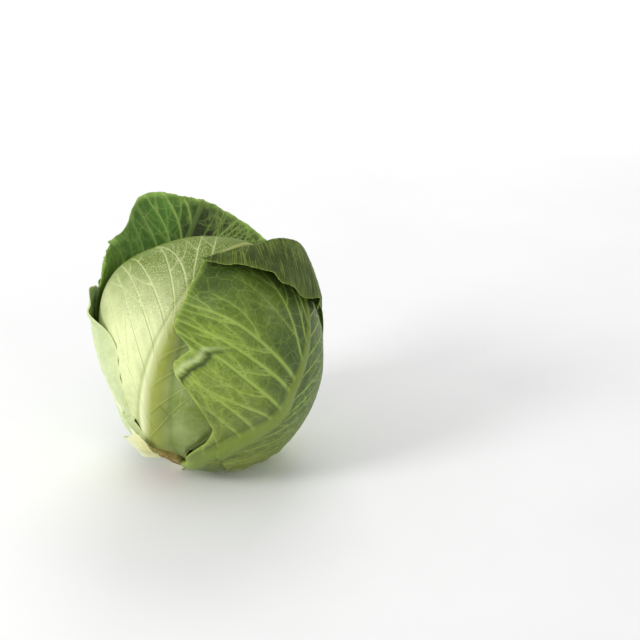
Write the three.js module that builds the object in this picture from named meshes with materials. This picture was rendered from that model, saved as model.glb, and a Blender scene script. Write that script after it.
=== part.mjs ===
// A whole green cabbage lying on its rounded side, the stem end towards the front lower left.
// Millimetres, +Z up. The origin is the middle of the flat spot it rests on.
import * as THREE from 'three';

// Driving sizes
const HALF_ACROSS = 80.5;    // half width of the closed body
const HALF_DEEP = 84.0;      // half depth, front to back
const HALF_ALONG = 82.0;     // half length along the stem
const SLIM = 2.5;            // the body is this much slimmer near the stem
const SLIM_AT = 44;          // degrees from the stem where it is slimmest
const SWELLS = [             // places where the body is fuller or slimmer: degrees, mm, degrees wide
  { fromStem: 99, azimuth: -81, height: 7.4, width: 25 },
  { fromStem: 62, azimuth: -88, height: -6.5, width: 22 },
  { fromStem: 28, azimuth: -88, height: -8.2, width: 18 },
  { fromStem: 0, azimuth: 0, height: -4.5, width: 18 },
  { fromStem: 40, azimuth: 96, height: 5.6, width: 38 },
];
const CENTRE_HIGH = 78.4;    // height of the body's middle above the table
const LEAN_RIGHT = 25.0;     // degrees, stem axis leaning to the right
const LEAN_BACK = 29.6;      // degrees, and away from the front
const LAYER = 3.0;           // step from one leaf layer to the next
const BLEND = 1.0;           // rounding where the flat spot starts
const STEM_RADIUS = 18.2;
const STEM_SEAT = 66.0;      // distance of the stem's seat from the middle
const STEM_CUT = 80.4;       // and of its cut end
const NODE_GAP = 1.0;        // least space left between two pieces

const DEG = Math.PI / 180;
const MM_PER_DEGREE = 1.42;  // length of one degree on the body

const COLOURS = {
  pale: { color: 0xb9c97c, roughness: 0.5, metalness: 0 },
  mid: { color: 0x5f8a3a, roughness: 0.5, metalness: 0 },
  dark: { color: 0x3f6a2c, roughness: 0.5, metalness: 0 },
  cream: { color: 0xd8cf9a, roughness: 0.6, metalness: 0 },
  cut: { color: 0xb08a5a, roughness: 0.8, metalness: 0 },
};

// Plain helpers

function step(x, from, to) {
  const q = Math.min(1, Math.max(0, (x - from) / (to - from)));
  return q * q * (3 - 2 * q);
}

// Smooth curve through a few [x, y] knots that never overshoots them; a plain number is constant.
function curve(x, knots) {
  if (typeof knots === 'number') return knots;
  const last = knots.length - 1;
  const at = Math.min(knots[last][0], Math.max(knots[0][0], x));
  let k = 0;
  while (k < last - 1 && at > knots[k + 1][0]) k += 1;
  const rise = (i) => (knots[i + 1][1] - knots[i][1]) / (knots[i + 1][0] - knots[i][0]);
  const slope = (i) => {
    if (i === 0) return rise(0);
    if (i === last) return rise(last - 1);
    const [before, after] = [rise(i - 1), rise(i)];
    if (before * after <= 0) return 0;
    const [h0, h1] = [knots[i][0] - knots[i - 1][0], knots[i + 1][0] - knots[i][0]];
    const [w0, w1] = [2 * h1 + h0, h1 + 2 * h0];
    return (w0 + w1) / (w0 / before + w1 / after);
  };
  const span = knots[k + 1][0] - knots[k][0];
  const q = (at - knots[k][0]) / span;
  return (1 + 2 * q) * (1 - q) ** 2 * knots[k][1] + q * (1 - q) ** 2 * span * slope(k)
    + q * q * (3 - 2 * q) * knots[k + 1][1] + q * q * (q - 1) * span * slope(k + 1);
}

// Direction from the middle of the body: s degrees up from the stem along a leaf's midrib,
// t degrees across it. azimuth turns the midrib round the stem, 0 facing the front.
function direction(s, t, azimuth) {
  const [sr, tr, ar] = [s * DEG, t * DEG, azimuth * DEG];
  return new THREE.Vector3(
    Math.cos(tr) * Math.sin(sr) * Math.sin(ar) + Math.sin(tr) * Math.cos(ar),
    -Math.cos(tr) * Math.sin(sr) * Math.cos(ar) + Math.sin(tr) * Math.sin(ar),
    -Math.cos(tr) * Math.cos(sr),
  );
}

// The same two angles of a direction, seen from another leaf.
function anglesFrom(d, azimuth) {
  const ar = azimuth * DEG;
  const t = Math.asin(Math.min(1, Math.max(-1, d.x * Math.cos(ar) + d.y * Math.sin(ar))));
  let s = Math.atan2(d.x * Math.sin(ar) - d.y * Math.cos(ar), -d.z);
  if (s < -0.6) s += 2 * Math.PI;
  return [s / DEG, t / DEG];
}

function bodyRadius(d) {
  const round = 1 / Math.hypot(d.x / HALF_ACROSS, d.y / HALF_DEEP, d.z / HALF_ALONG);
  const fromStem = Math.acos(Math.min(1, Math.max(-1, -d.z))) / DEG;
  let radius = round - SLIM * Math.exp(-(((fromStem - SLIM_AT) / 16) ** 2));
  for (const { fromStem: s, azimuth, height, width } of SWELLS) {
    const apart = 2 - 2 * d.dot(direction(s, 0, azimuth));
    radius += height * Math.exp(-apart / (width * DEG) ** 2);
  }
  return radius;
}

// Turns a point from the stem's frame into the lying pose and presses it flat on the floor below it.
function lay(point, floor) {
  const p = point.clone();
  p.applyAxisAngle(new THREE.Vector3(0, 1, 0), LEAN_RIGHT * DEG);
  p.applyAxisAngle(new THREE.Vector3(1, 0, 0), -LEAN_BACK * DEG);
  p.z += CENTRE_HIGH;
  const over = p.z - floor;
  if (over < -BLEND) p.z = floor;
  else if (over < BLEND) p.z = floor + (over + BLEND) ** 2 / (4 * BLEND);
  return p;
}

// Leaves: outline in degrees (left and right half widths and sway against s, tip against v),
// midrib in mm, and the flat curve a leaf follows where it leaves the body.
// v runs from -1 at the left margin to 1 at the right one.

const ROUND_RIB = [[0, 9], [20, 9], [40, 8], [60, 7], [80, 5.5], [100, 4], [125, 2.6], [190, 1.3]];
const CLOSED = { leave: 200, rise: 20, riseTurn: 0, rollRadius: 5, rollTurn: 0, hangTurn: 0 };

const LEAVES = {
  leaf_front: {
    ...CLOSED, layer: 1, azimuth: -16, base: 15, thick: 1.6, phase: 0.4,
    sway: [[0, 3], [25, 3.5], [45, 3.6], [65, 3.2], [85, 2.4], [110, 1], [180, 0]],
    tip: [[-1, 120], [-0.8, 148], [-0.4, 169], [0, 177], [0.4, 167], [0.8, 144], [1, 120]],
    left: [[0, 14], [14, 14.4], [18, 24], [24, 34], [32, 41], [50, 57], [80, 74], [120, 76], [180, 70]],
    right: [[0, 12], [15, 13], [30, 26], [50, 44], [80, 58], [120, 60], [180, 50]],
    ribHalf: [[0, 10], [20, 10.5], [40, 9.5], [60, 8.5], [80, 7], [100, 4.5], [125, 2.4], [180, 1.3]],
    ribHigh: [[0, 3.4], [15, 3.4], [24, 5.8], [40, 6], [60, 5], [80, 4], [100, 2.4], [125, 1], [180, 0.3]],
    under: ['leaf_right', 'leaf_back', 'leaf_left'], rows: 24, columns: 26, material: 'pale',
  },
  leaf_rear: {
    ...CLOSED, layer: 1, azimuth: 142, base: 15, thick: 1.6, phase: 2.1,
    sway: 0,
    tip: [[-1, 116], [-0.8, 142], [-0.4, 160], [0, 166], [0.4, 158], [0.8, 140], [1, 116]],
    left: [[0, 10], [15, 11], [30, 24], [50, 44], [80, 60], [120, 62], [170, 55]],
    right: [[0, 10], [15, 11], [30, 24], [50, 44], [80, 60], [120, 62], [170, 55]],
    ribHalf: ROUND_RIB, ribHigh: [[0, 4], [20, 3.5], [60, 3], [80, 3], [100, 2], [125, 1], [180, 0.3]],
    under: ['leaf_right', 'leaf_back'], rows: 20, columns: 22, material: 'pale',
  },
  leaf_right: {
    layer: 2, azimuth: 54, base: 15, thick: 1.4, phase: 1.2,
    sway: [[0, 4], [15, 4], [23, -1], [32, -5.5], [45, -6], [60, -3.5], [70, 0.5], [79, 2], [88, 0],
      [110, 1], [220, 4]],
    tip: [[-1, 156], [-0.87, 163], [-0.64, 176], [-0.5, 184], [-0.36, 197], [-0.1, 208], [0.15, 201],
      [0.27, 177], [0.36, 169], [0.5, 160], [0.6, 155], [0.8, 147.5], [1, 127]],
    left: [[0, 4], [22, 4], [25, 7.5], [27, 8.6], [39, 11], [50, 16], [53, 26], [55.5, 38], [57.5, 48],
      [61, 53], [66, 56], [72, 57.5], [78, 57.5], [80, 59], [83, 64], [88, 65.8], [100, 67.3], [130, 64.5], [150, 57.5], [220, 44]],
    right: [[0, 10], [15, 11], [30, 24], [50, 44], [80, 60], [120, 60], [170, 50], [220, 46]],
    leave: [[-1, 146], [-0.6, 148], [-0.2, 144], [0.2, 142], [0.5, 141], [0.8, 136], [1, 120]],
    rise: [[-1, 5], [-0.6, 10], [-0.2, 29], [0.06, 34], [0.3, 21], [0.6, 11], [1, 5]],
    riseTurn: [[-1, 5], [-0.5, 8], [-0.1, 16], [0.15, 9], [0.4, 9], [0.6, 5], [1, 1]],
    rollRadius: [[-1, 2.4], [-0.4, 3.5], [0, 3.6], [0.4, 2.4], [1, 2.2]],
    rollTurn: [[-1, 165], [0, 164], [0.2, 172], [0.4, 182], [1, 184]],
    hangTurn: [[-1, 0.25], [0, 0.25], [0.35, 0.7], [1, 0.7]],
    ribHalf: ROUND_RIB, ribHigh: [[0, 3.5], [20, 3.5], [40, 2.6], [60, 2.2], [80, 2], [100, 1.6], [220, 0.3]],
    under: [], rows: 34, columns: 26, rolled: true, material: 'mid',
    free: (s, t, v) => {
      const edge = 3.2 * step(-v, 0.8, 1) * step(s, 60, 84);
      const lobe = 2 * step(-v, 0.62, 1) * step(s, 46, 54) * step(-s, -74, -66);
      const foot = 4 * step(-v, 0.35, 1) * step(-s, -56, -46) * step(s, 20, 32);
      // the pleat: the margin turned over into a lip that ends in a drop along a slanting line
      const line = -52 + (s - 56) / 7 + 6 * step(s, 82, 92);
      const lip = 4 * step(line - t, -0.8, 0.8) * step(s, 53, 58) * step(-s, -93, -84);
      return edge + lobe + foot + lip;
    },
  },
  leaf_back: {
    layer: 2, azimuth: -127, base: 15, thick: 1.5, phase: 3.3,
    sway: 0,
    tip: [[-1, 120], [-0.8, 150], [-0.5, 168], [-0.3, 167], [0, 164], [0.23, 160], [0.4, 157], [0.54, 149],
      [0.68, 132], [0.87, 120], [1, 112]],
    left: [[0, 10], [15, 11], [30, 24], [50, 46], [80, 72], [120, 80], [190, 76]],
    right: [[0, 10], [15, 11], [30, 21], [50, 36], [80, 47], [100, 48], [120, 45], [190, 33]],
    leave: [[-1, 118], [-0.4, 122], [0, 112], [0.5, 102], [1, 92]],
    rise: 60, riseTurn: [[-1, 4], [-0.5, 10], [0, 20], [0.5, 24], [1, 14]], rollRadius: 30, rollTurn: 0,
    hangTurn: 0,
    ribHalf: ROUND_RIB, ribHigh: [[0, 3], [20, 3], [40, 2.6], [60, 2.4], [80, 2.2], [125, 1.4], [190, 0.3]],
    under: ['leaf_left'], rows: 24, columns: 26, material: 'dark',
    free: (s, t, v) => 1.5 * step(v, 0.6, 1) * step(s, 70, 95),
  },
  leaf_left: {
    layer: 3, azimuth: -97, base: 15, thick: 1.5, phase: 4.6,
    sway: 0,
    tip: [[-1, 82], [-0.6, 92], [0, 96], [0.5, 96], [0.8, 94], [1, 91]],
    left: [[0, 9], [15, 10], [30, 18], [50, 24], [80, 26], [120, 28]],
    right: [[0, 14], [12, 22], [20, 32], [30, 42], [40, 47], [52, 50], [60, 50], [66, 47.5], [76, 39],
      [84, 31], [90, 26], [95, 27], [104, 22], [120, 20]],
    leave: [[-1, 82], [0, 92], [1, 96]],
    rise: 30, riseTurn: [[-1, 20], [0, 26], [1, 26]], rollRadius: 5, rollTurn: 0, hangTurn: 0,
    ribHalf: [[0, 8], [20, 8], [40, 6.5], [60, 5], [80, 3], [110, 1.5]],
    ribHigh: [[0, 2.6], [20, 2.4], [40, 2], [60, 1.4], [80, 0.8], [110, 0.4]],
    under: ['leaf_stub'], rows: 20, columns: 16, material: 'pale',
    free: (s, t, v) => {
      const folds = Math.exp(-(((s - 79) / 5) ** 2)) + 0.9 * Math.exp(-(((s - 95) / 6) ** 2));
      const hug = 2.9 * step(t - 0.2 * s, 4, 14) * step(-s, -82, -70);
      return 6 * folds * step(v, 0.62, 1) ** 2 + 2 * step(v, 0.2, 0.8) * step(s, 80, 96) - hug;
    },
  },
  leaf_stub: {
    ...CLOSED, layer: 4, azimuth: -40, base: 14, thick: 1.9, phase: 5.2,
    sway: 0,
    tip: [[-1, 17], [-0.6, 21], [-0.2, 25], [0.3, 28.5], [0.7, 30], [1, 27]],
    left: [[0, 8], [15, 8], [24, 6.5], [34, 6]],
    right: [[0, 10], [15, 11], [20, 13.5], [26, 15], [34, 13]],
    ribHalf: 14, ribHigh: 0, under: [], rows: 9, columns: 11, material: 'cream',
    free: (s, t) => 0.2 - 4.6 * step(t, 4, 13),
  },
};

const halfWidth = (leaf, s, v) => curve(s, v < 0 ? leaf.left : leaf.right);
const across = (leaf, s, v) => curve(s, leaf.sway) + v * halfWidth(leaf, s, v);

function ribHeight(leaf, s, t) {
  const off = Math.abs(t - curve(s, leaf.sway)) * MM_PER_DEGREE / curve(s, leaf.ribHalf);
  return curve(s, leaf.ribHigh) * Math.exp(-(off ** 2.4));
}

// Distance of a leaf layer from the body's surface. Inner layers sink where others lie on them,
// and outer layers ride over the midribs below.
function layerOffset(layer, d) {
  const { leaf_front: front, leaf_rear: rear, leaf_right: right, leaf_back: back, leaf_left: left } = LEAVES;
  const [sr, tr] = anglesFrom(d, right.azimuth);
  const [sb, tb] = anglesFrom(d, back.azimuth);
  const [sl, tl] = anglesFrom(d, left.azimuth);
  const rightOver = step(tr, -46, -22) * step(-tr, -62, -42) * step(-sr, -175, -150);
  const backOver = step(tb, -76, -56) * step(-tb, -46, -28) * step(-sb, -130, -105);
  const leftOver = step(tl, -24, -8) * step(-tl, -30, -14) * step(-sl, -112, -92);
  let offset = -LAYER * Math.max(rightOver, backOver) - LAYER * leftOver;
  if (layer > 1) {
    const [sf, tf] = anglesFrom(d, front.azimuth);
    const [se, te] = anglesFrom(d, rear.azimuth);
    offset += LAYER + ribHeight(front, sf, tf) + ribHeight(rear, se, te);
  }
  if (layer > 2) offset += LAYER + ribHeight(back, sb, tb);
  if (layer > 3) offset += LAYER + ribHeight(left, sl, tl);
  return offset;
}

// 1 where a direction lies well inside the outline of a leaf, 0 outside it.
function coveredBy(leaf, d) {
  const [s, t] = anglesFrom(d, leaf.azimuth);
  const v = (t - curve(s, leaf.sway)) / halfWidth(leaf, s, t - curve(s, leaf.sway));
  const end = Math.min(curve(v, leaf.tip), curve(v, leaf.leave));
  const inside = (1 - Math.abs(v)) * halfWidth(leaf, s, v);
  return step(inside, -2, 2) * step(end - s, -2, 3) * step(s, 8, 12);
}

function onBody(leaf, s, t, v) {
  const d = direction(s, t, leaf.azimuth);
  const free = leaf.free ? leaf.free(s, t, v) : 0;
  return d.clone().multiplyScalar(bodyRadius(d) + layerOffset(leaf.layer, d) + free);
}

// One column of a leaf's outer sheet, from the base to the tip.
function leafColumn(leaf, v) {
  const [tip, leave] = [curve(v, leaf.tip), curve(v, leaf.leave)];
  const rise = curve(v, leaf.rise);
  const rollLength = curve(v, leaf.rollRadius) * curve(v, leaf.rollTurn) * DEG + 0.01;
  const crest = Math.min(leave + rise / MM_PER_DEGREE, tip - 2);
  const rolled = Math.min(crest + rollLength / MM_PER_DEGREE, tip - 1);
  const heading = (length) => DEG * (curve(v, leaf.riseTurn) * step(length, 0, rise)
    + curve(v, leaf.rollTurn) * Math.min(1, Math.max(0, (length - rise) / rollLength))
    + curve(v, leaf.hangTurn) * Math.max(0, length - rise - rollLength));
  const leaveT = across(leaf, leave, v);
  const foot = onBody(leaf, leave, leaveT, v);
  const along = foot.clone().sub(onBody(leaf, leave - 0.5, across(leaf, leave - 0.5, v), v)).normalize();
  const side = onBody(leaf, leave, leaveT + 0.5, v).sub(onBody(leaf, leave, leaveT - 0.5, v));
  const out = side.cross(along).normalize();
  if (out.dot(foot) < 0) out.negate();
  const points = [];
  let [length, forward, away] = [0, 0, 0];
  for (let i = 0; i <= leaf.rows; i += 1) {
    const u = i / leaf.rows;
    let s = leaf.base + (tip - leaf.base) * u;
    if (leaf.rolled) s = curve(u, [[0, leaf.base], [0.52, crest], [0.8, rolled], [1, tip]]);
    let t = across(leaf, s, v);
    // the base follows the round stem
    const bend = Math.cos(leaf.base * DEG) / Math.cos(Math.min(Math.abs(t), leaf.base - 0.5) * DEG);
    const free = Math.max(0, 1 - (s - leaf.base) / 12);
    s -= (leaf.base - Math.acos(Math.min(1, bend)) / DEG) * free ** 2;
    if (s <= leave) {
      points.push({ s, t, p: onBody(leaf, s, t, v) });
    } else {
      t = leaveT;
      const target = (s - leave) * MM_PER_DEGREE;
      const parts = Math.max(1, Math.ceil((target - length) / 0.4));
      const dl = (target - length) / parts;
      for (let k = 0; k < parts; k += 1) {
        const angle = heading(length + dl / 2);
        forward += Math.cos(angle) * dl;
        away += Math.sin(angle) * dl;
        length += dl;
      }
      points.push({ s, t, p: foot.clone().addScaledVector(along, forward).addScaledVector(out, away) });
    }
  }
  return points;
}

function gridNormal(grid, i, j) {
  const [rows, columns] = [grid.length - 1, grid[0].length - 1];
  const du = grid[Math.min(rows, i + 1)][j].p.clone().sub(grid[Math.max(0, i - 1)][j].p);
  const dv = grid[i][Math.min(columns, j + 1)].p.clone().sub(grid[i][Math.max(0, j - 1)].p);
  return dv.cross(du).normalize();
}

// Closed body from two alike point grids: outer face, inner face turned round, and the rim.
function shellMesh(name, outer, inner, material) {
  const [rows, columns] = [outer.length, outer[0].length];
  const positions = [];
  for (const grid of [outer, inner]) {
    for (const row of grid) for (const p of row) positions.push(p.x, p.y, p.z);
  }
  const at = (i, j) => i * columns + j;
  const under = rows * columns;
  const index = [];
  const quad = (a, b, c, d) => index.push(a, b, c, a, c, d);
  for (let i = 0; i < rows - 1; i += 1) {
    for (let j = 0; j < columns - 1; j += 1) {
      const [a, b, c, d] = [at(i, j), at(i, j + 1), at(i + 1, j + 1), at(i + 1, j)];
      quad(a, b, c, d);
      index.push(under + a, under + c, under + b, under + a, under + d, under + c);
    }
  }
  const rim = [];
  for (let j = 0; j < columns - 1; j += 1) rim.push(at(0, j));
  for (let i = 0; i < rows - 1; i += 1) rim.push(at(i, columns - 1));
  for (let j = columns - 1; j > 0; j -= 1) rim.push(at(rows - 1, j));
  for (let i = rows - 1; i > 0; i -= 1) rim.push(at(i, 0));
  rim.forEach((a, k) => {
    const b = rim[(k + 1) % rim.length];
    quad(b, a, under + a, under + b);
  });
  return solid(name, positions, index, material);
}

function solid(name, positions, index, material) {
  const geometry = new THREE.BufferGeometry();
  geometry.setAttribute('position', new THREE.Float32BufferAttribute(positions, 3));
  geometry.setIndex(index);
  geometry.computeVertexNormals();
  const mesh = new THREE.Mesh(geometry, new THREE.MeshStandardMaterial(COLOURS[material]));
  mesh.name = name;
  return mesh;
}

function makeLeaf(name, leaf) {
  const columns = [];
  for (let j = 0; j <= leaf.columns; j += 1) {
    const q = -1 + 2 * j / leaf.columns;
    columns.push(leafColumn(leaf, q - 0.07 * Math.sin(2 * Math.PI * q)));
  }
  const grid = columns[0].map((_, i) => columns.map((column) => column[i]));
  const lengthBetween = (a, b) => a.p.distanceTo(b.p);
  const outer = [];
  const inner = [];
  const [rows, last] = [grid.length - 1, leaf.columns];
  const upTo = grid.map(() => new Array(last + 1).fill(0));
  for (let i = 1; i <= rows; i += 1) {
    for (let j = 0; j <= last; j += 1) upTo[i][j] = upTo[i - 1][j] + lengthBetween(grid[i - 1][j], grid[i][j]);
  }
  grid.forEach((row, i) => {
    const run = [0];
    for (let j = 1; j <= last; j += 1) run.push(run[j - 1] + lengthBetween(row[j - 1], row[j]));
    const outerRow = [];
    const innerRow = [];
    row.forEach(({ s, t, p }, j) => {
      const normal = gridNormal(grid, i, j);
      const edge = Math.min(run[j], run[last] - run[j], upTo[rows][j] - upTo[i][j]);
      const d = p.clone().normalize();
      let hidden = Math.max(0, ...leaf.under.map((above) => coveredBy(LEAVES[above], d)));
      if (leaf.layer > 1) hidden *= step(-s, -130, -110);
      const [x, y, phase] = [t * MM_PER_DEGREE, s * MM_PER_DEGREE, leaf.phase];
      const swell = 0.5 * Math.sin(x / 17 + phase) * Math.sin(y / 21 + 2 * phase)
        + 0.35 * Math.sin(x / 9 + y / 13 + 3 * phase);
      const ripple = 0.5 + 0.5 * Math.sin((0.8 * y + Math.abs(x)) / 3.6 + phase + 1.5 * Math.sin(y / 11));
      const frill = 1.2 * Math.exp(-edge / 7) * ripple * (1 - hidden) * step(upTo[i][j], 8, 25);
      const lift = 0.35 * swell + frill;
      const thick = leaf.thick * (0.6 + 0.4 * Math.min(1, edge / 8));
      outerRow.push(lay(p.clone().addScaledVector(normal, lift + ribHeight(leaf, s, t)), 0));
      innerRow.push(lay(p.clone().addScaledVector(normal, lift - thick), thick));
    });
    outer.push(outerRow);
    inner.push(innerRow);
  });
  return shellMesh(name, outer, inner, leaf.material);
}

// Closed body of rings between two poles.
function ringMesh(name, rings, bottom, top, material) {
  const around = rings[0].length;
  const positions = [];
  for (const p of [bottom, ...rings.flat(), top]) positions.push(p.x, p.y, p.z);
  const at = (ring, k) => 1 + ring * around + (k % around);
  const crown = 1 + rings.length * around;
  const index = [];
  for (let k = 0; k < around; k += 1) {
    index.push(0, at(0, k + 1), at(0, k));
    index.push(crown, at(rings.length - 1, k), at(rings.length - 1, k + 1));
    for (let r = 0; r < rings.length - 1; r += 1) {
      const [a, b, c, d] = [at(r, k), at(r, k + 1), at(r + 1, k + 1), at(r + 1, k)];
      index.push(a, b, c, a, c, d);
    }
  }
  return solid(name, positions, index, material);
}

// The dense head inside the loose leaves, flat where the stem meets it.
function makeHead() {
  const [steps, around] = [20, 36];
  const at = (fromStem, azimuth) => {
    const d = direction(fromStem, 0, azimuth);
    let radius = bodyRadius(d) + layerOffset(1, d) - 1.6 - NODE_GAP;
    radius -= 0.8 * (0.5 + 0.5 * Math.sin(3 * azimuth * DEG + fromStem / 20)) * step(fromStem, 60, 130);
    if (d.z < 0) radius = Math.min(radius, STEM_SEAT / -d.z);
    return lay(d.multiplyScalar(radius), 1.6 + 2 * NODE_GAP);
  };
  const rings = [];
  for (let i = 1; i < steps; i += 1) {
    const ring = [];
    for (let k = 0; k < around; k += 1) ring.push(at(180 * i / steps, 360 * k / around));
    rings.push(ring);
  }
  return ringMesh('head', rings, at(0.001, 0), at(179.999, 0), 'pale');
}

// The short stem, cut across, with a worn edge.
function makeStem() {
  const around = 32;
  const profile = [[0.97, STEM_SEAT + NODE_GAP], [1, STEM_SEAT + 4], [1, STEM_CUT - 5], [0.985, STEM_CUT - 1.6],
    [0.9, STEM_CUT], [0.5, STEM_CUT - 0.6]];
  const ring = ([share, down]) => {
    const points = [];
    for (let k = 0; k < around; k += 1) {
      const angle = 2 * Math.PI * k / around;
      const radius = STEM_RADIUS * share * (1 - 0.02 + 0.02 * Math.sin(5 * angle + 1));
      points.push(lay(new THREE.Vector3(radius * Math.cos(angle), radius * Math.sin(angle), -down), 0));
    }
    return points;
  };
  const rings = profile.map(ring).reverse();
  const cut = lay(new THREE.Vector3(0, 0, -(STEM_CUT - 1)), 0);
  const seat = lay(new THREE.Vector3(0, 0, -(STEM_SEAT + NODE_GAP)), 0);
  return ringMesh('stem', rings, cut, seat, 'cut');
}

const cabbage = new THREE.Group();
cabbage.name = 'cabbage';
cabbage.add(makeStem(), makeHead());
for (const [name, leaf] of Object.entries(LEAVES)) cabbage.add(makeLeaf(name, leaf));

export default cabbage;
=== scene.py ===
# %% [markdown]
# # A green cabbage lying on its side
#
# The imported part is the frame: it says where every leaf lies. Each leaf of the frame is a closed
# blade with few faces. Here each one is replaced by a finer blade on the same curves, with the veins
# that a real leaf has, and then gets its finish.

# %% Load the frame
from functools import reduce

import bpy
import numpy as np
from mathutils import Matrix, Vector


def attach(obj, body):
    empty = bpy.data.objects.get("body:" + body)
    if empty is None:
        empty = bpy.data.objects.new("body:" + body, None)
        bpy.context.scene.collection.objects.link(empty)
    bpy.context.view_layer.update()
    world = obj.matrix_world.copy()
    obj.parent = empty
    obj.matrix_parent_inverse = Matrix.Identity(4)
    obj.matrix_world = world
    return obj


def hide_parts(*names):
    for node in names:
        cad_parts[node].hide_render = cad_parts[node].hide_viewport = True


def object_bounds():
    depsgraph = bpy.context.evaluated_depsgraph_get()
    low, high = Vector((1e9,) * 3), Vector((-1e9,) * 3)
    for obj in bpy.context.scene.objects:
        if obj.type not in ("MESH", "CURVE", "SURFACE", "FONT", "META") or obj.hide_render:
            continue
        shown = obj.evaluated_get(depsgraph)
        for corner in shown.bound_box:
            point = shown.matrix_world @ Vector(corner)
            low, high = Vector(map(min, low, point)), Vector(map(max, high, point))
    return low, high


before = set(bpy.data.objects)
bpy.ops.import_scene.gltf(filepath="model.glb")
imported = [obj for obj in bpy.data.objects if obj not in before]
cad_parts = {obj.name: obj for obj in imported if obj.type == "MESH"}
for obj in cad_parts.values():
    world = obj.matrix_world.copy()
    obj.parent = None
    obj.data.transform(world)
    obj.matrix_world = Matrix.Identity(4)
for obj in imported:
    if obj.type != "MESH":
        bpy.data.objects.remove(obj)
CAD_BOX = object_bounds()
print("frame nodes", sorted(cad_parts))

# %% [markdown]
# ## The body that the leaves wrap
#
# A cabbage grows round its stem, so the sizes are measured from the middle of the closed body: a
# direction is s degrees up from the stem along a leaf's midrib and t degrees across it. Working in
# angles, and not in x, y and z, lets one short table describe any leaf.

# %% Sizes of the body, in mm and degrees
HALF_ACROSS, HALF_DEEP, HALF_ALONG = 80.5, 84.0, 82.0
SLIM, SLIM_AT, SLIM_OVER = 2.5, 44.0, 16.0
CENTRE_HIGH = 78.4
SWELLS = [(99, -81, 7.4, 25), (62, -88, -6.5, 22), (28, -88, -8.2, 18), (0, 0, -4.5, 18), (40, 96, 5.6, 38)]
LEAN_RIGHT, LEAN_BACK = 25.0, 29.6
LAYER = 3.0
BLEND = 1.0
STEM_RADIUS, STEM_SEAT, STEM_CUT = 18.2, 66.0, 80.4
NODE_GAP = 1.0
MM_PER_DEGREE = 1.42
DEG = np.pi / 180
METRES = 0.001
BOX_SOFT = 1.5


# %% Helpers for smooth steps and curves
def step(x, low, high):
    """Smooth step: 0 at low, 1 at high, with a level start and end (3q^2 - 2q^3)."""
    q = np.clip((x - low) / (high - low), 0, 1)
    return q * q * (3 - 2 * q)


def curve(x, knots):
    """Smooth curve through a few (x, y) knots that never overshoots them (monotone cubic)."""
    if not isinstance(knots, list):
        return knots + 0.0 * x
    px, py = np.array(knots, float).T
    h = np.diff(px)
    rise = np.diff(py) / h
    slope = np.concatenate([rise[:1], 0 * rise[1:], rise[-1:]])
    before, after, w0, w1 = rise[:-1], rise[1:], 2 * h[1:] + h[:-1], h[1:] + 2 * h[:-1]
    same = before * after > 0
    safe = np.where(same, w0 / np.where(same, before, 1) + w1 / np.where(same, after, 1), 1)
    slope[1:-1] = np.where(same, (w0 + w1) / safe, 0)
    x = np.clip(x, px[0], px[-1])
    k = np.clip(np.searchsorted(px, x) - 1, 0, len(h) - 1)
    q = (x - px[k]) / h[k]
    return ((1 + 2 * q) * (1 - q) ** 2 * py[k] + q * (1 - q) ** 2 * h[k] * slope[k]
            + q * q * (3 - 2 * q) * py[k + 1] + q * q * (q - 1) * h[k] * slope[k + 1])


def unit(v):
    """Vectors made one long."""
    return v / np.maximum(np.linalg.norm(v, axis=-1, keepdims=True), 1e-9)


# %% Directions and the body's radius
def direction(s, t, azimuth):
    """Unit vector: s degrees from the stem along the midrib, t degrees across it."""
    s, t, az = s * DEG, t * DEG, azimuth * DEG
    return np.stack([np.cos(t) * np.sin(s) * np.sin(az) + np.sin(t) * np.cos(az),
                     -np.cos(t) * np.sin(s) * np.cos(az) + np.sin(t) * np.sin(az),
                     -np.cos(t) * np.cos(s)], -1)


def angles_from(d, azimuth):
    """The two angles of a direction as another leaf sees them."""
    az = azimuth * DEG
    t = np.arcsin(np.clip(d[..., 0] * np.cos(az) + d[..., 1] * np.sin(az), -1, 1))
    s = np.arctan2(d[..., 0] * np.sin(az) - d[..., 1] * np.cos(az), -d[..., 2])
    return np.where(s < -0.6, s + 2 * np.pi, s) / DEG, t / DEG


def body_radius(d):
    """Ellipsoid radius along d, less a shallow waist near the stem, plus a few broad swells."""
    round_part = 1 / np.linalg.norm(d / np.array([HALF_ACROSS, HALF_DEEP, HALF_ALONG]), axis=-1)
    from_stem = np.arccos(np.clip(-d[..., 2], -1, 1)) / DEG
    radius = round_part - SLIM * np.exp(-((from_stem - SLIM_AT) / SLIM_OVER) ** 2)
    for s, azimuth, height, width in SWELLS:
        apart = 2 - 2 * (d * direction(np.array(s), 0.0, azimuth)).sum(-1)
        radius = radius + height * np.exp(-apart / (width * DEG) ** 2)
    return radius


def lay(p, floor):
    """Turns points from the stem's upright pose into the lying one and presses them flat below."""
    a, b = LEAN_RIGHT * DEG, -LEAN_BACK * DEG
    turn_y = np.array([[np.cos(a), 0, np.sin(a)], [0, 1, 0], [-np.sin(a), 0, np.cos(a)]])
    turn_x = np.array([[1, 0, 0], [0, np.cos(b), -np.sin(b)], [0, np.sin(b), np.cos(b)]])
    q = p @ (turn_x @ turn_y).T
    over = q[..., 2] + CENTRE_HIGH - floor
    soft = (over + BLEND) ** 2 / (4 * BLEND)
    q[..., 2] = floor + np.where(over < -BLEND, 0, np.where(over < BLEND, soft, over))
    return q


def within(p):
    """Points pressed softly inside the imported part's own box at the sides and the top."""
    low, high = np.array(CAD_BOX[0]) / METRES + BOX_SOFT, np.array(CAD_BOX[1]) / METRES - BOX_SOFT
    over, short = np.maximum(p - high, 0), np.maximum(low - p, 0) * np.array([1, 1, 0])
    press = lambda x: x - BOX_SOFT * (1 - np.exp(-x / BOX_SOFT))
    return p - press(over) + press(short)


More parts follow.
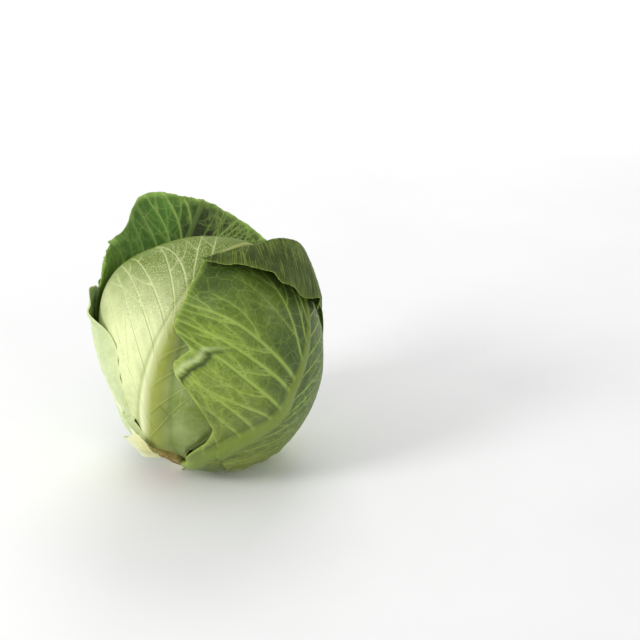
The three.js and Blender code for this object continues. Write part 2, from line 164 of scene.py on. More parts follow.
print("body", 2 * HALF_ACROSS, "x", 2 * HALF_DEEP, "x", 2 * HALF_ALONG, "mm")

# %% [markdown]
# ## One table for the leaves
#
# Real wrapper leaves differ in outline, in how far up they cling to the head, and in how their top
# curls. Each row here holds those facts as short curves: half widths against s, the tip against v
# (v is -1 at the left margin and 1 at the right), and the flat curve the blade follows after it
# leaves the head. Veins are given as they grow: where they leave the midrib, their first and last
# heading, their length and their width. Drawing each vein as a growing path, and not as a texture,
# makes them run and branch like real ones and lets them stand out as ridges.

# %% The leaves
ROUND_RIB = [(0, 9), (20, 9), (40, 8), (60, 7), (80, 5.5), (100, 4), (125, 2.6), (190, 1.3)]
CLOSED = dict(leave=200.0, rise=20.0, rise_turn=0.0, roll_radius=5.0, roll_turn=0.0, hang_turn=0.0)


def fan(first, gap, count, heading, last, length, fall, width):
    """Veins at even gaps up a midrib, each a little shorter than the one below."""
    return [(first + gap * k, heading, last, length - fall * k, width) for k in range(count)]


def free_right(s, t, v):
    """How far the right leaf's left margin lifts: an edge, a lobe, the foot, and the pleat's lip."""
    edge = 3.2 * step(-v, 0.8, 1) * step(s, 60, 84)
    lobe = 2 * step(-v, 0.62, 1) * step(s, 46, 54) * step(-s, -74, -66)
    foot = 4 * step(-v, 0.35, 1) * step(-s, -56, -46) * step(s, 20, 32)
    return edge + lobe + foot + 4 * pleat(s, t)


def pleat_line(s):
    """Where the lip of the pleat ends, in degrees across the leaf."""
    return -52 + (s - 56) / 7 + 6 * step(s, 82, 92) + 0.6 * np.sin(0.35 * s) + 0.2 * np.sin(1.1 * s + 1)


def pleat_reach(s):
    """1 along the stretch of margin that is turned over."""
    return step(s, 53, 58) * step(-s, -93, -84)


def pleat(s, t):
    """1 on the margin that is turned over into a lip, 0 past the slanting line where it drops."""
    return step(pleat_line(s) - t, -0.8, 0.8) * pleat_reach(s)


def free_back(s, t, v):
    """The back leaf's right margin stands a little off the one it crosses."""
    return 1.5 * step(v, 0.6, 1) * step(s, 70, 95)


def free_left(s, t, v):
    """Two small folds in the left leaf's margin, whose lower part lies close to the leaf below."""
    folds = np.exp(-((s - 79) / 5) ** 2) + 0.9 * np.exp(-((s - 95) / 6) ** 2)
    hug = (4.8 + 1.3 * step(v, 0.88, 0.98)) * step(t - 0.2 * s, 4, 14) * step(-s, -82, -70)
    return 6 * folds * step(v, 0.62, 1) ** 2 + 2 * step(v, 0.2, 0.8) * step(s, 80, 96) - hug


HALF_OPEN = [(0, 10), (15, 11), (30, 24), (50, 44), (80, 60), (120, 62), (170, 55)]
LEAVES = {}

# %% The front leaf, with the wide midrib
LEAVES["leaf_front"] = dict(
    CLOSED, layer=1, azimuth=-16, base=15, thick=1.6, phase=0.4,
    sway=[(0, 3), (25, 3.5), (45, 3.6), (65, 3.2), (85, 2.4), (110, 1), (180, 0)],
    tip=[(-1, 120), (-0.8, 148), (-0.4, 169), (0, 177), (0.4, 167), (0.8, 144), (1, 120)],
    left=[(0, 14), (14, 14.4), (18, 24), (24, 34), (32, 41), (50, 57), (80, 74), (120, 76), (180, 70)],
    right=[(0, 12), (15, 13), (30, 26), (50, 44), (80, 58), (120, 60), (180, 50)],
    rib_half=[(0, 10), (20, 10.5), (40, 9.5), (60, 8.5), (80, 7), (100, 4.5), (125, 2.4), (180, 1.3)],
    rib_high=[(0, 3.4), (15, 3.4), (24, 5.8), (40, 6), (60, 5), (80, 4), (100, 2.4), (125, 1), (180, 0.3)],
    under=("leaf_right", "leaf_back", "leaf_left"), shape=(301, 231), visible="outer",
    forks=(0.45, 0.8), twigs=(),
    veins_left=[(29, 8, 32, 80, 1.0), (41, 22, 48, 78, 1.1), (56, 24, 48, 78, 1.2),
                (70, 26, 52, 76, 1.4), (84, 34, 53, 70, 1.4), (91, 22, 44, 68, 1.2),
                (103, 18, 54, 60, 1.2), (110, 32, 24, 56, 1.1), (124, 20, 26, 40, 1.0)],
    veins_right=[(30, 20, 32, 60, 0.7), (48, 34, 42, 56, 0.9), (62, 34, 44, 55, 1.0), (74, 34, 46, 50, 1.2),
                 (88, 34, 46, 50, 1.4), (102, 30, 44, 45, 1.3), (116, 26, 40, 35, 1.1)])

# %% The leaf on the far side
LEAVES["leaf_rear"] = dict(
    CLOSED, layer=1, azimuth=142, base=15, thick=1.6, phase=2.1, sway=0.0,
    tip=[(-1, 116), (-0.8, 142), (-0.4, 160), (0, 166), (0.4, 158), (0.8, 140), (1, 116)],
    left=HALF_OPEN, right=HALF_OPEN,
    rib_half=ROUND_RIB, rib_high=[(0, 4), (20, 3.5), (60, 3), (80, 3), (100, 2), (125, 1), (180, 0.3)],
    under=("leaf_right", "leaf_back"), shape=(221, 181), visible="outer",
    veins_left=fan(24, 12, 11, 28, 46, 72, 3, 1.5), veins_right=fan(20, 12, 11, 28, 46, 72, 3, 1.5))

# %% The right leaf, folded over at the top
LEAVES["leaf_right"] = dict(
    layer=2, azimuth=54, base=15, thick=1.4, phase=1.2,
    sway=[(0, 4), (15, 4), (23, -1), (32, -5.5), (45, -6), (60, -3.5), (70, 0.5), (79, 2), (88, 0), (110, 1),
          (220, 4)],
    tip=[(-1, 156), (-0.87, 163), (-0.64, 176), (-0.5, 184), (-0.36, 197), (-0.1, 208), (0.15, 201),
         (0.27, 177), (0.36, 169), (0.5, 160), (0.6, 155), (0.8, 147.5), (1, 127)],
    left=[(0, 4), (22, 4), (25, 7.5), (27, 8.6), (39, 11), (50, 16), (53, 26), (55.5, 38), (57.5, 48), (61, 53),
          (66, 56), (72, 57.5), (78, 57.5), (80, 59), (83, 64), (88, 65.8), (100, 67.3), (130, 64.5),
          (150, 57.5), (220, 44)],
    right=[(0, 10), (15, 11), (30, 24), (50, 44), (80, 60), (120, 60), (170, 50), (220, 46)],
    leave=[(-1, 146), (-0.6, 148), (-0.2, 144), (0.2, 142), (0.5, 141), (0.8, 136), (1, 120)],
    rise=[(-1, 5), (-0.6, 10), (-0.2, 29), (0.06, 34), (0.3, 21), (0.6, 11), (1, 5)],
    rise_turn=[(-1, 5), (-0.5, 8), (-0.1, 16), (0.15, 9), (0.4, 9), (0.6, 5), (1, 1)],
    roll_radius=[(-1, 2.4), (-0.4, 3.5), (0, 3.6), (0.4, 2.4), (1, 2.2)],
    roll_turn=[(-1, 165), (0, 164), (0.2, 172), (0.4, 182), (1, 184)],
    hang_turn=[(-1, 0.25), (0, 0.25), (0.35, 0.7), (1, 0.7)],
    rib_half=ROUND_RIB, rib_high=[(0, 3.5), (20, 3.5), (40, 2.6), (60, 2.2), (80, 2), (100, 1.6), (220, 0.3)],
    under=(), shape=(321, 221), visible="outer", rolled=True, free=free_right, ragged=1.2, frill=(0.8, 140),
    veins_left=[(30, 40, 60, 40, 1.2), (42, 60, 72, 45, 1.2), (56, 84, 96, 60, 1.4), (62, 72, 94, 76, 1.6),
                (71, 80, 108, 74, 1.6), (77, 76, 84, 80, 1.8), (86, 68, 84, 80, 2.0), (92, 66, 72, 84, 2.1),
                (101, 46, 26, 76, 1.7), (110, 36, 8, 66, 1.5), (120, 26, 6, 60, 1.4), (132, 20, 4, 50, 1.3),
                (146, 16, 4, 40, 1.2)],
    veins_right=[(26 + 11 * k, 30 + 1.5 * k, 40, 66 - 2 * k, 0.9) for k in range(13)])

# %% The dark leaf behind
LEAVES["leaf_back"] = dict(
    layer=2, azimuth=-127, base=15, thick=1.5, phase=3.3, sway=0.0,
    tip=[(-1, 120), (-0.8, 150), (-0.5, 168), (-0.3, 167), (0, 164), (0.23, 160), (0.4, 157), (0.54, 149),
         (0.68, 132), (0.87, 120), (1, 112)],
    left=[(0, 10), (15, 11), (30, 24), (50, 46), (80, 72), (120, 80), (190, 76)],
    right=[(0, 10), (15, 11), (30, 21), (50, 36), (80, 47), (100, 48), (120, 45), (190, 33)],
    leave=[(-1, 118), (-0.4, 122), (0, 112), (0.5, 102), (1, 92)],
    rise=60.0, rise_turn=[(-1, 4), (-0.5, 10), (0, 20), (0.5, 24), (1, 14)], roll_radius=30.0,
    roll_turn=0.0, hang_turn=0.0,
    rib_half=ROUND_RIB, rib_high=[(0, 3), (20, 3), (40, 2.6), (60, 2.4), (80, 2.2), (125, 1.4), (190, 0.3)],
    under=("leaf_left",), shape=(301, 231), visible="inner", free=free_back, ragged=1.8, forks=(0.25, 0.5, 0.75),
    frill=(1.3, 80),
    veins_left=fan(40, 9, 10, 44, 12, 112, 5, 1.5), veins_right=fan(28, 12, 12, 34, 40, 84, 3, 1.5))

# %% The narrow left leaf
LEAVES["leaf_left"] = dict(
    layer=3, azimuth=-97, base=15, thick=1.5, phase=4.6, sway=0.0,
    tip=[(-1, 82), (-0.6, 92), (0, 96), (0.5, 96), (0.8, 94), (1, 91)],
    left=[(0, 9), (15, 10), (30, 18), (50, 24), (80, 26), (120, 28)],
    right=[(0, 14), (12, 22), (20, 32), (30, 42), (40, 47), (52, 50), (60, 50), (66, 47.5), (76, 39), (84, 31),
           (90, 26), (95, 27), (104, 22), (120, 20)],
    leave=[(-1, 82), (0, 92), (1, 96)],
    rise=30.0, rise_turn=[(-1, 20), (0, 26), (1, 26)], roll_radius=5.0, roll_turn=0.0, hang_turn=0.0,
    rib_half=[(0, 8), (20, 8), (40, 6.5), (60, 5), (80, 3), (110, 1.5)],
    rib_high=[(0, 2.6), (20, 2.4), (40, 2), (60, 1.4), (80, 0.8), (110, 0.4)],
    under=("leaf_stub",), shape=(221, 131), visible="outer", free=free_left,
    veins_left=fan(22, 11, 7, 30, 44, 44, 3, 1.3), veins_right=fan(22, 11, 7, 30, 44, 40, 3, 1.3))

# %% The base of a leaf that was broken off
LEAVES["leaf_stub"] = dict(
    CLOSED, layer=4, azimuth=-40, base=14, thick=1.9, phase=5.2, sway=0.0,
    tip=[(-1, 17), (-0.6, 21), (-0.2, 25), (0.3, 28.5), (0.7, 30), (1, 27)],
    left=[(0, 8), (15, 8), (24, 6.5), (34, 6)], right=[(0, 10), (15, 11), (20, 13.5), (26, 15), (34, 13)],
    rib_half=14.0, rib_high=0.0, under=(), shape=(81, 81), visible="outer",
    free=lambda s, t, v: 0.2 - 4.6 * step(t, 4, 13), veins_left=[], veins_right=[])
print(len(LEAVES), "leaves in the table")

# %% [markdown]
# ## Laying the blades in order
#
# Leaves overlap as they grow, each riding over the midribs below it. A leaf's distance from the body
# is therefore a sum: one step for each layer under it, plus the ribs it crosses. Sculpting each leaf
# by hand would need every overlap to be checked by eye, while this sum keeps them apart by itself.


# %% Midribs and layers
def rib_height(leaf, s, t):
    """Height and mask of the midrib: the centre height times exp(-(distance / half width)^2.4)."""
    off = np.abs(t - curve(s, leaf["sway"])) * MM_PER_DEGREE / curve(s, leaf["rib_half"])
    mask = np.exp(-off ** 2.4)
    return curve(s, leaf["rib_high"]) * mask, mask


def layer_offset(layer, d):
    """Distance of a leaf layer from the body: sinks under covering leaves, rides over ribs below."""
    front, rear, right, back, left = (LEAVES["leaf_" + k] for k in ("front", "rear", "right", "back", "left"))
    sr, tr = angles_from(d, right["azimuth"])
    sb, tb = angles_from(d, back["azimuth"])
    sl, tl = angles_from(d, left["azimuth"])
    right_over = step(tr, -46, -22) * step(-tr, -62, -42) * step(-sr, -175, -150)
    back_over = step(tb, -76, -56) * step(-tb, -46, -28) * step(-sb, -130, -105)
    left_over = step(tl, -24, -8) * step(-tl, -30, -14) * step(-sl, -112, -92)
    offset = -LAYER * np.maximum(right_over, back_over) - LAYER * left_over
    if layer > 1:
        for leaf in (front, rear):
            offset = offset + rib_height(leaf, *angles_from(d, leaf["azimuth"]))[0]
        offset = offset + LAYER
    if layer > 2:
        offset = offset + LAYER + rib_height(back, sb, tb)[0]
    if layer > 3:
        offset = offset + LAYER + rib_height(left, sl, tl)[0]
    return offset


def half_width(leaf, s, v):
    """Half width in degrees on the side that v is on."""
    return np.where(v < 0, curve(s, leaf["left"]), curve(s, leaf["right"]))


def covered_by(leaf, d):
    """1 where a direction lies well inside the outline of a leaf, 0 outside it."""
    s, t = angles_from(d, leaf["azimuth"])
    side = t - curve(s, leaf["sway"])
    width = half_width(leaf, s, side)
    v = np.clip(side / width, -1, 1)
    end = np.minimum(curve(v, leaf["tip"]), curve(v, leaf["leave"]))
    return step((1 - np.abs(side / width)) * width, -2, 2) * step(end - s, -2, 3) * step(s, 8, 12)


# %% [markdown]
# ## A blade as a grid of points
#
# The blade is one grid: rows run from the base to the tip and columns from the left margin to the
# right. Up to the line where it leaves the head, a point lies on the body. Past that line it follows
# a flat curve whose heading turns as it goes, which bends the blade without stretching it, as a real
# leaf bends. Margins of real leaves are never clean, so the rows and columns near them waver.

# %% The sheet of one leaf
FLAT_PARTS = 400
WAVER = 0.5


def waver(x, phase):
    """A small uneven wave between 0 and 1: three sines of unlike lengths."""
    wave = np.sin(1.9 * x + phase) + np.sin(0.83 * x + 2 * phase) + 0.7 * np.sin(4.3 * x + 5 * phase)
    return 0.5 + wave / 5.4


def on_body(leaf, s, t, v):
    """Point at the layer's radius along the direction (s, t), plus what the leaf stands free."""
    d = direction(s, t, leaf["azimuth"])
    free = leaf["free"](s, t, v) if "free" in leaf else 0
    return (body_radius(d) + layer_offset(leaf["layer"], d) + free)[..., None] * d


def sheet_of(leaf):
    """Grid of (s, t, v, point): on the body up to the leaving line, then along a turning curve."""
    rows, columns = leaf["shape"]
    u, q = np.meshgrid(np.linspace(0, 1, rows), np.linspace(-1, 1, columns), indexing="ij")
    v = q - 0.07 * np.sin(2 * np.pi * q)
    phase = leaf["phase"]
    ragged = WAVER * leaf.get("ragged", 1.0)
    uneven = waver(40 * v, phase) - 0.3
    tip = curve(v, leaf["tip"]) - ragged * uneven * step(np.abs(tip_room(leaf, v)), 0, 20)
    leave = np.minimum(curve(v, leaf["leave"]), 400)
    rise, roll, hang = (curve(v, leaf[k]) for k in ("rise", "roll_turn", "hang_turn"))
    rise_turn, roll_length = curve(v, leaf["rise_turn"]), curve(v, leaf["roll_radius"]) * roll * DEG + 0.01
    s = leaf["base"] + (tip - leaf["base"]) * u
    if leaf.get("rolled"):
        crest = np.minimum(leave + rise / MM_PER_DEGREE, tip - 2)
        rolled = np.minimum(crest + roll_length / MM_PER_DEGREE, tip - 1)
        knots = np.stack([0 * v + leaf["base"], crest, rolled, tip])
        s = rows_between(u, np.array([0, 0.52, 0.8, 1.0]), knots)

    def at(length_s):
        narrow = 1 - ragged * (waver(0.9 * length_s, phase + v) - 0.3) * np.abs(v) ** 12 / 60
        return curve(length_s, leaf["sway"]) + v * narrow * half_width(leaf, length_s, v)

    t = at(s)
    bend = np.cos(leaf["base"] * DEG) / np.cos(np.minimum(np.abs(t), leaf["base"] - 0.5) * DEG)
    clasp = np.maximum(0, 1 - (s - leaf["base"]) / 12)
    s = s - (leaf["base"] - np.arccos(np.minimum(1, bend)) / DEG) * clasp ** 2
    t0 = at(leave)
    past = s > leave
    p = on_body(leaf, np.where(past, leave, s), np.where(past, t0, t), v)
    foot = on_body(leaf, leave, t0, v)
    along = unit(foot - on_body(leaf, leave - 0.5, at(leave - 0.5), v))
    side = on_body(leaf, leave, t0 + 0.5, v) - on_body(leaf, leave, t0 - 0.5, v)
    out = unit(np.cross(side, along))
    out *= np.sign((out * foot).sum(-1, keepdims=True))
    length = np.maximum(s - leave, 0) * MM_PER_DEGREE
    forward, away = flat_curve(length, rise[0], rise_turn[0], roll[0], roll_length[0], hang[0])
    p = p + forward[..., None] * along + away[..., None] * out
    return s, np.where(past, t0, t), v, p


def tip_room(leaf, v):
    """How far the tip lies past the base, in degrees, so that short leaves waver less."""
    return curve(v, leaf["tip"]) - leaf["base"] - 10


def rows_between(u, marks, knots):
    """Row places that pass smoothly through knots at the given shares, worked column by column."""
    columns = [curve(u[:, j], list(zip(marks, knots[:, 0, j]))) for j in range(u.shape[1])]
    return np.stack(columns, 1)


def flat_curve(length, rise, rise_turn, roll, roll_length, hang):
    """Sums of cos and sin of a heading that turns up, rolls over and then hangs."""
    g = np.linspace(0, 1, FLAT_PARTS)[:, None] * (length.max(0) + 1e-6)
    heading = DEG * (rise_turn * step(g / np.maximum(rise, 1e-6), 0, 1)
                     + roll * np.clip((g - rise) / roll_length, 0, 1)
                     + hang * np.maximum(0, g - rise - roll_length))
    mid, part = (heading[1:] + heading[:-1]) / 2, np.diff(g, axis=0)
    zero = np.zeros((1, g.shape[1]))
    sums = [np.concatenate([zero, np.cumsum(f(mid) * part, 0)]) for f in (np.cos, np.sin)]
    place = length / (length.max(0) + 1e-6) * (FLAT_PARTS - 1)
    low = np.clip(place.astype(int), 0, FLAT_PARTS - 2)
    share, column = place - low, np.arange(g.shape[1])[None, :]
    return [a[low, column] * (1 - share) + a[low + 1, column] * share for a in sums]


# %% [markdown]
# ## Veins that grow
#
# Side veins leave the midrib at a slant, bend towards the margin, wander a little and fork, each
# fork thinner than its parent. The path of each is summed step by step from its heading. Then every
# point of the blade finds its distance to the nearest path, which gives three things at once: the
# ridge that stands out, a sunk line on its shaded side that is also painted darker as shade, and the
# swell of the blade between.

# %% Growing the veins
VEIN_SEED = 11
FAR_BESIDE = 4.0
FORKS = (0.22, 0.4, 0.56, 0.72, 0.87)
TWIGS = (0.45, 0.8)


def grow(s, t, heading, last, length, steps, settle):
    """Path whose heading eases from the first to the last over settle degrees of length."""
    x = np.linspace(0, length, steps)
    a = (last + (heading - last) * np.exp(-x / settle)) * DEG
    mid, part = (a[1:] + a[:-1]) / 2, np.diff(x)
    return (s + np.concatenate([[0], np.cumsum(np.cos(mid) * part)]),
            t + np.concatenate([[0], np.cumsum(np.sin(mid) * part)]))


def forks_of(s, t, length, shares, rng, steps):
    """Forks to either side of a path in turn, which bend back towards its own heading."""
    sign, made = rng.choice([-1, 1]), []
    for share in shares:
        k = int(np.clip(share + rng.uniform(-0.04, 0.04), 0.05, 0.95) * (len(s) - 1))
        here = np.arctan2(t[k] - t[k - 1], s[k] - s[k - 1]) / DEG
        sign = -sign
        rest = length * (1 - share) * rng.uniform(0.45, 0.8) + 5
        path = grow(s[k], t[k], here + sign * rng.uniform(30, 50), here + sign * rng.uniform(6, 20), rest, steps, 8)
        made.append((*path, rest))
    return made


def veins_of(leaf, rng):
    """All paths of a leaf as (s, t, first width, last width, strength)."""
    made = []
    for side, key in ((-1, "veins_left"), (1, "veins_right")):
        for start, heading, last, length, width in leaf[key]:
            t0 = float(curve(np.array([start]), leaf["sway"])[0])
            s, t = grow(start, 0, heading, last, length, 40, 12)
            bend = 0.6 * np.sin(np.linspace(0, 9, 40) + rng.uniform(0, 6.28)) * np.linspace(0, 1, 40)
            s, t = s + bend, t + 0.5 * bend
            made.append((s, t0 + side * t, width, 0.35 * width, 1.0))
            for s2, t2, rest in forks_of(s, t, length, leaf.get("forks", FORKS), rng, 16):
                made.append((s2, t0 + side * t2, 0.55 * width, 0.25 * width, 0.55))
                for s3, t3, _ in forks_of(s2, t2, rest, leaf.get("twigs", TWIGS), rng, 8):
                    made.append((s3, t0 + side * t3, 0.36 * width, 0.2 * width, 0.3))
    return made


def vein_field(s, t, paths):
    """For every point: the ridge, the distance in mm to the nearest path, that distance in the path's
    own widths with a sign for its side, and the path's strength. The signed distance is what keeps a
    vein crisp, because it crosses zero between two points of the mesh exactly where the vein runs."""
    ridge, near = np.zeros(s.shape), np.full(s.shape, 99.0)
    beside, force = np.full(s.shape, FAR_BESIDE), np.zeros(s.shape)
    narrow = np.cos(np.clip(t, -80, 80) * DEG)
    for ps, pt, first, final, strength in paths:
        inside = (s > ps.min() - 6) & (s < ps.max() + 6) & (t > pt.min() - 6) & (t < pt.max() + 6)
        if not inside.any():
            continue
        ss, tt, cc = s[inside], t[inside], narrow[inside]
        best, where, turn = np.full(ss.shape, 1e9), np.zeros(ss.shape), np.zeros(ss.shape)
        for k in range(len(ps) - 1):
            ax, ay = (ps[k] - ss) * cc, pt[k] - tt
            bx, by = (ps[k + 1] - ps[k]) * cc, pt[k + 1] - pt[k]
            q = np.clip(-(ax * bx + ay * by) / (bx * bx + by * by + 1e-9), 0, 1)
            gap = (ax + q * bx) ** 2 + (ay + q * by) ** 2
            closer = gap < best
            best, where = np.where(closer, gap, best), np.where(closer, (k + q) / (len(ps) - 1), where)
            turn = np.where(closer, np.sign(ax * by - ay * bx), turn)
        distance = np.sqrt(best) * MM_PER_DEGREE
        width = first + (final - first) * where
        fade = strength * (1 - 0.5 * where)
        ridge[inside] = np.maximum(ridge[inside], fade * np.exp(-(distance / width) ** 2))
        widths = np.minimum(distance / width, FAR_BESIDE)
        nearer = widths < np.abs(beside[inside])
        beside[inside] = np.where(nearer, turn * widths, beside[inside])
        force[inside] = np.where(nearer, fade, force[inside])
        near[inside] = np.minimum(near[inside], distance + 1.5 * (1 - strength))
    return ridge, near, beside, force


# %% [markdown]
# ## From sheet to closed blade
#
# A leaf is thin but not paper, so each blade is closed: a fine grid on the side that is seen, a
# coarser one on the other side, and a rim that joins them. Solidify would give both sides the same
# relief, while a real leaf has its ribs on the outer side only.

# %% Closing a blade
RELIEF_RIDGE, RELIEF_SWELL = 0.75, 0.5
SWELL, RIPPLE, RIPPLE_OVER, SINK, PILLOW = 0.35, 1.2, 7, 0.25, 4.5
THIN_SHARE, THIN_OVER = 0.45, 8
UV_MM = 100


def shell_faces(rows, columns, turned):
    """Faces of a fine grid, the half as fine grid behind it, and the rim. turned swaps the sides."""
    def quads(r, c, first):
        i = first + np.arange(r * c).reshape(r, c)
        return np.stack([i[:-1, :-1], i[:-1, 1:], i[1:, 1:], i[1:, :-1]], -1).reshape(-1, 4)

    def border(r, c, first):
        i = first + np.arange(r * c).reshape(r, c)
        return np.concatenate([i[0, :], i[1:, -1], i[-1, -2::-1], i[-2:0:-1, 0]])

    r2, c2 = (rows + 1) // 2, (columns + 1) // 2
    fine, coarse = quads(rows, columns, 0), quads(r2, c2, rows * columns)[:, ::-1]
    a, b = border(rows, columns, 0), border(r2, c2, rows * columns)
    a0, a1, a2, b1 = a[0::2], a[1::2], np.roll(a[0::2], -1), np.roll(b, -1)
    rim = np.concatenate([np.stack([a1, a0, b], 1), np.stack([a1, b, b1], 1), np.stack([a2, a1, b1], 1)])
    if turned:
        fine, coarse, rim = fine[:, ::-1], coarse[:, ::-1], rim[:, ::-1]
    return fine, coarse, rim


def grid_normals(p):
    """Cross product of the two grid directions."""
    return unit(np.cross(np.gradient(p, axis=1), np.gradient(p, axis=0)))


def blade_of(name):
    """Both faces of a leaf with its relief, and the masks that its finish needs."""
    leaf = LEAVES[name]
    s, t, v, p = sheet_of(leaf)
    n = grid_normals(p)
    across = np.linalg.norm(np.diff(p, axis=1), axis=-1)
    run = np.concatenate([np.zeros((p.shape[0], 1)), np.cumsum(across, 1)], 1)
    upward = np.linalg.norm(np.diff(p, axis=0), axis=-1)
    up = np.concatenate([np.zeros((1, p.shape[1])), np.cumsum(upward, 0)], 0)
    edge = np.minimum(np.minimum(run, run[:, -1:] - run), up[-1:] - up)
    d = unit(p)
    hidden = np.max([covered_by(LEAVES[k], d) for k in leaf["under"]] or [0 * s], axis=0)
    if leaf["layer"] > 1:
        hidden = hidden * step(-s, -130, -110)
    x, y, phase = t * MM_PER_DEGREE, s * MM_PER_DEGREE, leaf["phase"]
    swell = 0.5 * np.sin(x / 17 + phase) * np.sin(y / 21 + 2 * phase) + 0.35 * np.sin(x / 9 + y / 13 + 3 * phase)
    ripple = 0.5 + 0.5 * np.sin((0.8 * y + np.abs(x)) / 3.6 + phase + 1.5 * np.sin(y / 11))
    lift = SWELL * swell + RIPPLE * np.exp(-edge / RIPPLE_OVER) * ripple * (1 - hidden) * step(up, 8, 25)
    frill, first = leaf.get("frill", (0.0, 0.0))
    curl = np.sin((0.8 * y + np.abs(x)) / 1.7 + 2 * phase + 2 * np.sin(y / 7))
    lift = lift + frill * np.exp(-edge / 5) * curl * (1 - hidden) * step(s, first, first + 15)
    rib, rib_mask = rib_height(leaf, s, t)
    ridge, near, beside, force = vein_field(s, t, veins_of(leaf, np.random.default_rng(VEIN_SEED + len(name))))
    pillow = 1 - np.exp(-(near / PILLOW) ** 2)
    open_part = (1 - 0.9 * hidden) * step(edge, 0, 4) * step(up, 4, 16)
    relief = RELIEF_RIDGE * ridge * (1 - 0.5 * rib_mask) + RELIEF_SWELL * pillow * (1 - rib_mask)
    thick = leaf["thick"] * (THIN_SHARE + (1 - THIN_SHARE) * np.minimum(1, edge / THIN_OVER))
    outer = lay(p + n * (lift + rib + relief * open_part - SINK)[..., None], 0)
    inner = lay(p + n * (lift - thick + (0.4 * pillow - 0.3 * ridge) * open_part)[..., None], thick)
    masks = dict(vein=ridge, beside=beside, force=force, cell=pillow, rib=rib_mask, edge=np.exp(-edge / 2.5),
                 up=s / 180, side=0.5 + 0.5 * v,
                 dew=step(s, 78, 100) * step(-s, -160, -140) * step(-t, -42, -18) * step(t, -48, -30))
    # The lip and fold masks place a painted highlight on the crest of the turned-over margin and a painted shadow just
    # past the line where it drops.
    if name == "leaf_right":
        past = t - pleat_line(s)
        masks["lip"] = np.exp(-((past + 2.2) / 1.4) ** 2) * pleat_reach(s)
        masks["fold"] = np.exp(-((past - 1.2) / 1.0) ** 2) * pleat_reach(s)
    return within(outer), within(inner), masks, (x, y)


# %% Mesh objects from arrays
def put_mesh(name, points, faces, materials, masks=None, places=None, kinds=None):
    """A smooth mesh in metres at the origin, with its point masks, material places and UV map."""
    mesh = bpy.data.meshes.new(name)
    mesh.from_pydata((points * METRES).tolist(), [], faces)
    for material in materials:
        mesh.materials.append(material)
    mesh.polygons.foreach_set("use_smooth", np.ones(len(mesh.polygons), bool))
    if kinds is not None:
        mesh.polygons.foreach_set("material_index", kinds)
    for key, values in (masks or {}).items():
        stored = mesh.attributes.new(key, "FLOAT", "POINT").data
        stored.foreach_set("value", np.ascontiguousarray(values, np.float32))
    if places is not None:
        corner = np.zeros(len(mesh.loops), int)
        mesh.loops.foreach_get("vertex_index", corner)
        flat = np.ascontiguousarray(places[corner], np.float32).ravel()
        mesh.uv_layers.new(name="blade").data.foreach_set("uv", flat)
    mesh.update()
    item = bpy.data.objects.new(name, mesh)
    bpy.context.scene.collection.objects.link(item)
    return item


def make_leaf(name, piece, outside, inside):
    """The closed blade of one leaf: fine where it is seen, half as fine behind."""
    outer, inner, masks, (x, y) = blade_of(name)
    rows, columns = x.shape
    turned = LEAVES[name]["visible"] == "inner"
    front, behind = (inner, outer) if turned else (outer, inner)
    fine, coarse, rim = shell_faces(rows, columns, turned)
    kinds = np.repeat([int(turned), 1 - int(turned), 0], [len(fine), len(coarse), len(rim)])
    half = lambda a: a[::2, ::2].reshape((rows + 1) // 2 * ((columns + 1) // 2), -1)
    both = lambda a: np.concatenate([a.reshape(rows * columns, -1), half(a)])
    points = np.concatenate([front.reshape(-1, 3), half(behind)])
    places = both(np.stack([x, y], -1)) / UV_MM
    masks = {key: both(a)[:, 0] for key, a in masks.items()}
    faces = fine.tolist() + coarse.tolist() + rim.tolist()
    item = put_mesh(piece, points, faces, [outside, inside], masks, places, kinds)
    print(piece, len(item.data.vertices), "points", 2 * (len(fine) + len(coarse)) + len(rim), "triangles")
    return item


# %% [markdown]
# ## Finishes for living tissue
#
# A cabbage leaf is waxy: soft broad highlights, a whitish bloom, and a blade whose green deepens away
# from the light veins. Three scales of detail carry it. The large veins come from the masks stored on
# the blade, the fine net between them from Voronoi cell edges on Object coordinates, and the grain of
# the tissue from noise. Everything is procedural, so nothing blurs when looked at closely.


# %% Small helpers for node trees
def new_material(name):
    """An empty material with its tree, shader and Object coordinates."""
    material = bpy.data.materials.new(name)
    material.use_nodes = True
    tree = material.node_tree
    return material, tree, tree.nodes["Principled BSDF"], add(tree, "ShaderNodeTexCoord").outputs["Object"]


def add(tree, kind, **values):
    """A node with its named properties and inputs set; an output socket as a value is linked."""
    node = tree.nodes.new(kind)
    for key, value in values.items():
        if key in node.bl_rna.properties:
            setattr(node, key, value)
            continue
        socket = node.inputs[int(key[1:])] if key[1:].isdigit() else node.inputs[key]
        if isinstance(value, bpy.types.NodeSocket):
            tree.links.new(value, socket)
        else:
            socket.default_value = value
    return node


def mask(tree, name):
    """A point mask stored on the mesh."""
    return add(tree, "ShaderNodeAttribute", attribute_name=name).outputs["Fac"]


def calc(tree, operation, a, b=0.5, clamp=False):
    """One number from two."""
    return add(tree, "ShaderNodeMath", operation=operation, i0=a, i1=b, use_clamp=clamp).outputs[0]


def times(tree, *parts):
    """The product of several values."""
    return reduce(lambda a, b: calc(tree, "MULTIPLY", a, b), parts)


def plus(tree, *parts):
    """The sum of several values."""
    return reduce(lambda a, b: calc(tree, "ADD", a, b), parts)


def spread(tree, value, low, high, to_low=0.0, to_high=1.0):
    """A value stretched from one range to another and kept inside it."""
    node = add(tree, "ShaderNodeMapRange", clamp=True, i0=value, i1=low, i2=high, i3=to_low, i4=to_high)
    return node.outputs["Result"]


def blend(tree, share, a, b, mode="MIX"):
    """Two colours mixed by a share."""
    node = add(tree, "ShaderNodeMix", data_type="RGBA", blend_type=mode, i0=share, i6=a, i7=b)
    return node.outputs[2]


def grey(tree, value):
    """A grey from one number."""
    return add(tree, "ShaderNodeCombineColor", i0=value, i1=value, i2=value).outputs[0]


